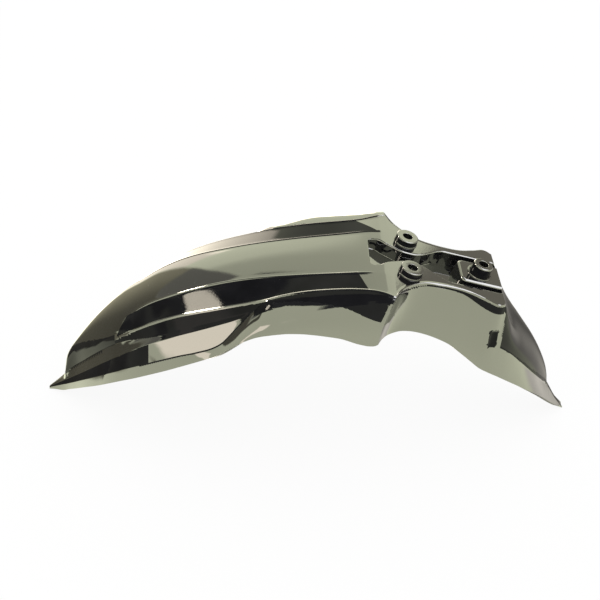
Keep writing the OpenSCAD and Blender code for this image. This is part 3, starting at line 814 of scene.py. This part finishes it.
# painted dim reflection at the foot of the nose's dome: its stretch, and its width that shrinks
NOSE_X, NOSE_WIDTH, NOSE_RUN = (20, 86), (22, 9), (30, 86)
# painted dark reflections: nose's facet, facet line, far raised lines, ledge, groove's end, spot at the near
# crease
FACET_X, LINE_X, BEAD_X, LEDGE_X, GROOVE_X = 121, (112, 214), 330, 133, 205
SPOT_X, SPOT_REACH = (217, 233), 13


def shade_edge(x):
    """Height of the lower edge of the painted dark reflection under the near rim."""
    near = yz(CREASE_2, x)
    row = front_row(min(x, FRONT), [j / 4 for j in range(4 * N2, 4 * N6 + 1)])
    for spot in row:
        if (Vector((spot[1], spot[2])) - near).length >= curve(SHADE, x):
            return spot[2]
    return row[-1][2]


def wedge_edge(x):
    """Height of the lower edge of the painted dark reflection (wedge) along the deck."""
    return deck_z(x) - WEDGE_TOP - WEDGE_MORE * ease(*WEDGE_RUN, x)


def cut_edge(grid, faces, place, normal):
    """Cut one straight edge into some faces of the skin."""
    parts = set(faces)
    for face in faces:
        parts.update(face.edges)
        parts.update(face.verts)
    bmesh.ops.bisect_plane(grid, geom=list(parts), plane_co=place, plane_no=normal)


def end_bands(mesh):
    """Cut edges into the outer skin where the painted dark reflections of the bands begin and end, and along
    the painted dark reflections of the side.
    """
    grid = bmesh.new()
    grid.from_mesh(mesh)

    def near(test):
        return [face for face in grid.faces if test(face, *to_part(face.calc_center_median()))]

    for side, x, y, lean, first, last, up in BAND_CUTS:
        faces = near(lambda face, a, b, c: first < a < last and side * b > BAND_Y and face.normal.z > up)
        cut_edge(grid, faces, to_model(x, y, 0), (1, lean, 0))
    shade = [(x, shade_edge(x)) for x, width in SHADE]
    wedge = [(x, wedge_edge(x)) for x in WEDGE_CUTS]
    for corners in (shade, wedge):
        for (x1, z1), (x2, z2) in zip(corners, corners[1:]):
            faces = near(lambda face, a, b, c: abs(face.normal.y) > 0.15 and abs(face.normal.z) < 0.99
                         and (face.normal.y < 0 or corners is wedge)
                         and x1 - 2 < a < x2 + 2 and min(z1, z2) - 3 < c < max(z1, z2) + 3)
            cut_edge(grid, faces, to_model(x1, 0, z1), (z1 - z2, 0, x2 - x1))
    grid.to_mesh(mesh)
    grid.free()


def tail_finish(x, z, side):
    """Painted dim reflection on the tail's dome, with a painted dark reflection along its foot."""
    s = x - X_REAR
    foot = tail_foot(s, curve(TAIL_CREST, s), yz(TAIL_HEM, s - rake_at(x)))
    if side[0] > foot[0] or z < foot[1]:
        return GLOSS
    return PAINTED_DARK if (side - foot).length < RIM + RIM_MORE * ease(*RIM_RUN, s) else PAINTED_DIM


def deck_finish(x, z, side, spot):
    """Painted dark reflections: a strip and wedge under the deck's edge, the sides of the bosses and the
    dents.
    """
    edge = Vector((curve(DECK_EDGE, x - FRONT), deck_z(x)))
    if side[0] > edge[0] - 0.5 and z < edge[1] - 0.4:
        below = (side - edge).length
        if STRIP[0] < below < STRIP[1] or (x > WEDGE_X and below > STRIP[0] and z > wedge_edge(x)):
            return PAINTED_DARK
    high = spot.dot(DECK_UP) - DECK_ZERO.dot(DECK_UP)
    for run, across, base, radius, height in (boss[1:6] for boss in BOSSES):
        out = (spot - lift_deck(run, across, high)).length
        if abs(out - radius) < BOSS_REACH and BOSS_FOOT < high < base + height - BOSS_TOP:
            return PAINTED_DARK
    for place, way in DENTS:
        local = way.inverted() @ (spot - place)
        if local.xy.length < DENT_R + 0.1 and abs(local.z) < DENT_H + 0.2:
            return PAINTED_DARK
    return GLOSS


def front_finish(x, y, z, side):
    """Painted dark reflections on the bands, groove and facet and under the near rim, and a painted dim
    reflection at the foot of the nose's dome.
    """
    foot, lip, facet = yz(VALLEY, x), yz(LIP, x), yz(FACET, x)
    if x < FACET_X and lip[0] < side[0] < facet[0] + 0.3 and facet[1] < z < lip[1]:
        return PAINTED_DARK
    if x < NOSE_X[1]:
        near = (side - foot).length < mix(*NOSE_WIDTH, ease(*NOSE_RUN, x))
        return PAINTED_DIM if x > NOSE_X[0] and side[0] < foot[0] + 1.2 and near else GLOSS
    c1, outer = yz(CREASE_1, x), yz(CREASE_2, x)
    inner = Vector((c1[0], curve(CREST, x) - c1[1]))
    off = (side - outer).length
    if (side - inner).length < BEAD_W or off < BEAD_W:
        return PAINTED_DARK if y > 0 and x < BEAD_X else GLOSS
    if LINE_X[0] < x < LINE_X[1] and (side - facet).length < 0.9:
        return PAINTED_DARK
    if inner[0] < side[0] < outer[0]:
        share = (side[0] - inner[0]) / (outer[0] - inner[0])
        if z > mix(inner[1], outer[1], share) - BAND_UP:
            end, across, lean = BAND_CUTS[0 if y < 0 else 1][1:4]
            return PAINTED_DARK if mix(*BAND_START, share) < x < end - (y - across) * lean else GLOSS
    if y < 0 and SPOT_X[0] < x < SPOT_X[1] and side[0] > outer[0] and off < SPOT_REACH:
        return PAINTED_DARK
    if x > SHADE[0][0]:
        return PAINTED_DARK if y < 0 and side[0] > outer[0] and off < curve(SHADE, x) else GLOSS
    if z > outer[1]:
        return GLOSS
    if foot[1] < z and side[0] > mix(outer[0], foot[0], (outer[1] - z) / (outer[1] - foot[1])) - 1.0:
        return PAINTED_DARK if side[0] < foot[0] + 1.0 else GLOSS
    ledge = x > LEDGE_X and foot[0] <= side[0] < lip[0] and z > lip[1] - 1.0
    return PAINTED_DARK if ledge or (x > GROOVE_X and facet[1] < z) else GLOSS


def finish_of(spot):
    """The finish of the outer skin at a point of the model: gloss, or a painted dark or dim reflection."""
    x, y, z = to_part(spot)
    side = Vector((abs(y), z))
    if x > X_REAR + 2:
        return tail_finish(x, z, side)
    if x > FRONT:
        return deck_finish(x, z, side, Vector((x, y, z)))
    return front_finish(x, y, z, side)


def faces_in(spot, way):
    """Whether a face at a point of the model looks down or towards the middle, over the tyre."""
    return way.z < -0.35 or (abs(spot.y) > 0.03 and way.y * spot.y < 0 and way.z < 0.2)


class MUDGUARD_OT_moulding(bpy.types.Operator):
    """Finish the moulding with a polished outer face, a satin inner face, and painted dark and dim
    reflections on parts of the outer face.
    """

    bl_idname = "mudguard.moulding"
    bl_label = "Moulding"

    def execute(self, context):
        finish = context.scene.mudguard_finish
        skin = dress_shell()
        skin.data.materials.clear()
        # the third and fourth coats are painted reflections: the same black with a low index, dark where the
        # real part mirrors the dark studio
        for coat in (gloss_material("black_lacquer", finish, finish.ior), satin_material(finish),
                     gloss_material("painted_dark_reflection_lacquer", finish, finish.painted_dark_ior),
                     gloss_material("painted_dim_reflection_lacquer", finish, finish.painted_dim_ior)):
            skin.data.materials.append(coat)
        end_bands(skin.data)
        for face in skin.data.polygons:
            face.material_index = SATIN if faces_in(face.center, face.normal) else finish_of(face.center)
            face.use_smooth = True
        skin.data.set_sharp_from_angle(angle=math.radians(48))
        weigh = skin.modifiers.new("weighted", "WEIGHTED_NORMAL")
        weigh.mode, weigh.weight, weigh.keep_sharp = "FACE_AREA", 60, True
        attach(skin, "root")
        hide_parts(NODE)
        return {"FINISHED"}


PALE, CREAM, BROWN, OLIVE = (0.83, 0.85, 0.625), (1.0, 0.91, 0.74), (0.98, 0.92, 0.62), (1.0, 0.94, 0.73)
SAND, SMOKE, WHITE, SHEEN = (1.0, 0.95, 0.84), (1.0, 0.98, 0.8), (1.0, 1.0, 1.0), (1.0, 0.995, 0.93)
NOSE_LAMP, LAMP_EDGE, LAMP_LEVEL = (147, 43.5), (6.5, 5.5), 30.0


def studio_world(studio):
    """A white surround for the camera, plain soft light, and a tent of pale walls with a dark roof."""
    world = bpy.data.worlds.new("studio")
    bpy.context.scene.world = world
    world.use_nodes = True
    tree = world.node_tree
    tree.nodes.clear()
    way = node(tree, "TexCoord").outputs["Generated"]
    parts = node(tree, "SeparateXYZ", Vector=way)
    x, y, z = (parts.outputs[name] for name in ("X", "Y", "Z"))
    turn = calc(tree, "MULTIPLY", calc(tree, "ARCTAN2", y, x), 180 / math.pi)
    rise = calc(tree, "MULTIPLY", calc(tree, "ARCSINE", z), 180 / math.pi)

    def step(value, start, stop):
        """0 before start and 1 after stop, or the other way round."""
        if start < stop:
            return smooth(tree, value, start, stop)
        return smooth(tree, value, stop, start, 1.0, 0.0)

    def both(first, *others):
        """All the masks at once."""
        for other in others:
            first = calc(tree, "MULTIPLY", first, other)
        return first

    def without(value):
        """The opposite of a mask."""
        return calc(tree, "SUBTRACT", 1.0, value)

    def along(direction):
        """Cosine of the angle to a direction, times its length."""
        dot = node(tree, "VectorMath", _0=way, _1=Vector(direction))
        dot.operation = "DOT_PRODUCT"
        return dot.outputs["Value"]

    def window(turn_on, turn_off, *rises):
        """A mask over a window of directions: where each edge is 0 and where it is 1, in degrees."""
        return both(step(turn, *turn_on), step(turn, *turn_off), *[step(rise, *edge) for edge in rises])

    def lay(under, mask, colour, level):
        """Lays one card over the surround: its colour times its level where the mask is 1."""
        made = tree.nodes.new("ShaderNodeMix")
        made.data_type = "RGBA"
        tree.links.new(mask, made.inputs[0])
        if isinstance(under, bpy.types.NodeSocket):
            tree.links.new(under, made.inputs[6])
        else:
            made.inputs[6].default_value = (*under, 1.0)
        if isinstance(level, bpy.types.NodeSocket):
            lit = node(tree, "VectorMath", _0=Vector(colour))
            lit.operation = "SCALE"
            tree.links.new(level, lit.inputs["Scale"])
            tree.links.new(lit.outputs["Vector"], made.inputs[7])
        else:
            made.inputs[7].default_value = (*[part * level for part in colour], 1.0)
        return made.outputs[2]

    high = calc(tree, "MAXIMUM", z, 0.05)
    across, away = calc(tree, "DIVIDE", x, high), calc(tree, "DIVIDE", y, high)
    left, overhead = step(turn, 0, -1), step(z, 0.3, 0.4)
    # backdrop behind the guard
    mask = window((84, 88), (122, 118), (17, 13))
    seen = lay(PALE, mask, CREAM, smooth(tree, turn, 106, 112, 3.0, 1.0))
    # dim side of the room behind the tail
    mask = window((0, 12), (84, 76), (14, 2))
    seen = lay(seen, mask, SAND, smooth(tree, turn, 24, 50, 0.62, 0.1))
    # dark corner ahead of the nose
    mask = both(step(along((0.475, -0.568, 0.8436)), 0.03, -0.03), step(along((1, 0.577, 0)), 0.03, -0.03),
                step(z, -0.46, -0.40), without(both(left, step(rise, -15, -19))),
                without(both(left, step(turn, -164, -152), step(rise, 2, -2))),
                without(both(calc(tree, "MAXIMUM", left, step(turn, 173, 177)), step(rise, 5, 10))))
    level = both(smooth(tree, turn, 122, 150, 0.27, 0.10), smooth(tree, left, 0, 1, 1.0, 0.8))
    seen = lay(seen, mask, BROWN, level)
    # dim wall behind the deck, and the window card that lights the side facet
    seen = lay(seen, window((19, 21), (64.2, 62.2), (7, 9), (43, 41)), OLIVE, 0.22)
    seen = lay(seen, window((-144, -140), (-114, -118), (7, 11), (30, 26)), CREAM, 1.8)
    # dimmer strip at the far edge of the roof, and the dark roof panel
    mask = both(step(away, 1.75, 1.3), step(away, 0.5, 0.6), step(across, 0.4, 0.3), overhead)
    seen = lay(seen, mask, PALE, 0.72)
    slope = calc(tree, "MULTIPLY", calc(tree, "MAXIMUM", away, 0.0), 1.38)
    lean = calc(tree, "SUBTRACT", calc(tree, "MULTIPLY", across, 0.825), away)
    mask = both(step(calc(tree, "ADD", across, slope), -0.19, -0.11), step(away, 1.0, 0.92),
                step(lean, -1.3325, -1.2325), step(away, -0.5, -0.4), step(across, 0.75, 0.65), overhead)
    seen = lay(seen, mask, WHITE, 0.02)
    # dark panel between the corner and the roof
    seen = lay(seen, window((119, 121), (162, 156), (19, 23), (50, 46)), SMOKE, 0.17)
    # long lamp beyond the roof, and a lamp over the nose
    mask = both(step(across, 0.2, 0.27), step(across, 1.2, 1.1), step(away, -1.2, -1.1), step(away, 0.9, 0.8),
                overhead)
    seen = lay(seen, mask, WHITE, 2.4)
    side, up = (math.radians(angle) for angle in NOSE_LAMP)
    lamp = (math.cos(up) * math.cos(side), math.cos(up) * math.sin(side), math.sin(up))
    mask = step(along(lamp), *[math.cos(math.radians(angle)) for angle in LAMP_EDGE])
    seen = lay(seen, mask, CREAM, LAMP_LEVEL)
    gloss = node(tree, "Background", Color=seen, Strength=studio.room)
    plain = node(tree, "Background", Color=(*WHITE, 1.0), Strength=studio.plain)
    white = node(tree, "Background", Color=(*WHITE, 1.0), Strength=1.0)
    path = node(tree, "LightPath")
    glossy = path.outputs["Is Glossy Ray"]
    first = node(tree, "MixShader", _0=glossy, _1=plain.outputs[0], _2=gloss.outputs[0])
    last = node(tree, "MixShader", _0=path.outputs["Is Camera Ray"], _1=first.outputs[0], _2=white.outputs[0])
    finish_tree(tree, "World", last.outputs[0])


GLOW_SHARE, SHEEN_SHARE = 0.9, 0.7
FLOOR_HALF, FLOOR_GAP, SENSOR, NEAREST = 6.0, 0.0002, 36.0, 0.01


def floor_material(studio):
    """White paper that keeps a faint shadow under the guard."""
    made, tree = empty_material("white_paper")
    spot = node(tree, "TexCoord").outputs["Object"]
    fibre = node(tree, "TexNoise", Vector=spot, Scale=240.0, Detail=4.0)
    tint = node(tree, "ValToRGB", Fac=fibre.outputs["Fac"])
    tint.color_ramp.elements[0].color = (0.88, 0.88, 0.87, 1.0)
    tint.color_ramp.elements[1].color = (0.92, 0.92, 0.91, 1.0)
    bump = node(tree, "Bump", Strength=0.05, Distance=0.0002, Height=fibre.outputs["Fac"])
    paper = node(tree, "BsdfDiffuse", Color=tint.outputs["Color"], Normal=bump.outputs["Normal"])
    glow = node(tree, "Emission", Color=(*WHITE, 1.0), Strength=1.0)
    sheen = node(tree, "Emission", Color=(*SHEEN, 1.0), Strength=studio.room)
    path = node(tree, "LightPath")
    seen = calc(tree, "MULTIPLY", path.outputs["Is Camera Ray"], GLOW_SHARE)
    first = node(tree, "MixShader", _0=seen, _1=paper.outputs[0], _2=glow.outputs[0])
    seen = calc(tree, "MULTIPLY", path.outputs["Is Glossy Ray"], SHEEN_SHARE)
    last = node(tree, "MixShader", _0=seen, _1=first.outputs[0], _2=sheen.outputs[0])
    finish_tree(tree, "Material", last.outputs[0])
    return made


class MUDGUARD_OT_stage(bpy.types.Operator):
    """Lay the floor, set the surround and aim the camera."""

    bl_idname = "mudguard.stage"
    bl_label = "Stage"

    def execute(self, context):
        studio = context.scene.mudguard_studio
        studio_world(studio)
        mesh = bpy.data.meshes.new("floor")
        grid = bmesh.new()
        bmesh.ops.create_grid(grid, x_segments=12, y_segments=12, size=FLOOR_HALF)
        grid.to_mesh(mesh)
        grid.free()
        mesh.materials.append(floor_material(studio))
        floor = bpy.data.objects.new("floor", mesh)
        floor.location.z = CAD_BOX[0][2] - FLOOR_GAP
        context.collection.objects.link(floor)
        floor.visible_glossy = False
        lens = bpy.data.cameras.new("camera")
        lens.lens = studio.lens
        lens.sensor_width = SENSOR
        lens.sensor_fit = "HORIZONTAL"
        lens.clip_start = NEAREST
        view = bpy.data.objects.new("camera", lens)
        view.location = studio.place
        view.rotation_euler = Euler(studio.turn)
        context.collection.objects.link(view)
        context.scene.camera = view
        context.scene.view_settings.view_transform = "Standard"
        return {"FINISHED"}


class MUDGUARD_PT_panel(bpy.types.Panel):
    """Lists the steps and the sizes of the mudguard's scene."""

    bl_idname = "MUDGUARD_PT_panel"
    bl_label = "Front Mudguard"
    bl_space_type = "VIEW_3D"
    bl_region_type = "UI"
    bl_category = "Mudguard"

    def draw(self, context):
        for group in (context.scene.mudguard_finish, context.scene.mudguard_studio):
            for key in group.bl_rna.properties.keys():
                if key not in {"rna_type", "name"}:
                    self.layout.prop(group, key)
        for step in STEPS:
            self.layout.operator(step.bl_idname)


STEPS = (MUDGUARD_OT_moulding, MUDGUARD_OT_stage)
CLASSES = (MudguardFinish, MudguardStudio, *STEPS, MUDGUARD_PT_panel)


def register():
    for cls in CLASSES:
        bpy.utils.register_class(cls)
    bpy.types.Scene.mudguard_finish = bpy.props.PointerProperty(type=MudguardFinish)
    bpy.types.Scene.mudguard_studio = bpy.props.PointerProperty(type=MudguardStudio)


def unregister():
    del bpy.types.Scene.mudguard_studio
    del bpy.types.Scene.mudguard_finish
    for cls in reversed(CLASSES):
        bpy.utils.unregister_class(cls)


def main():
    register()
    bpy.ops.mudguard.moulding()
    bpy.ops.mudguard.stage()


if __name__ == "__main__":
    main()
